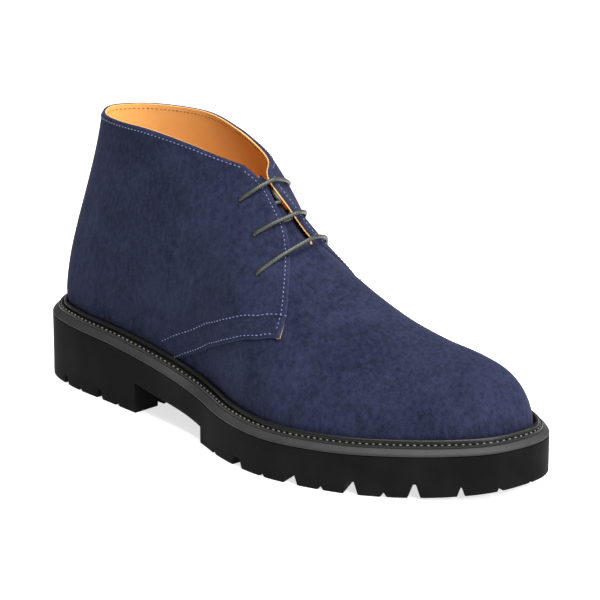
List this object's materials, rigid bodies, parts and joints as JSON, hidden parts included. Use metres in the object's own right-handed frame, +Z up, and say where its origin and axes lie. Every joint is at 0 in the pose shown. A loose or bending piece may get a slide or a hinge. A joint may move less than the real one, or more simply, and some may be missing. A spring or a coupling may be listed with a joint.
{
  "type": "chukka boot",
  "caption": "Ankle-high right chukka boot: suede upper with open derby front, straight-bar lace, storm welt and a thick lugged rubber sole.",
  "frame": {"origin": "middle of the sole's length and width, on the floor", "axes": "+X towards the toe, +Y towards the inner (medial) side, +Z up"},
  "size_m": [0.3001, 0.1193, 0.1414],
  "materials": {
    "suede": "napped navy suede, very matte",
    "lining": "smooth tan lining leather, satin",
    "sole_rubber": "matte black rubber",
    "band_rubber": "dull grey rubber edge",
    "lace_cord": "round waxed cotton"
  },
  "bodies": {
    "root": {"outsole": "sole_rubber", "midsole": "band_rubber", "welt": "sole_rubber", "insole": "lining", "upper": "suede", "tongue": "suede", "lace_bar_1": "lace_cord", "lace_bar_2": "lace_cord", "lace_bar_3": "lace_cord"}
  },
  "joints": []
}
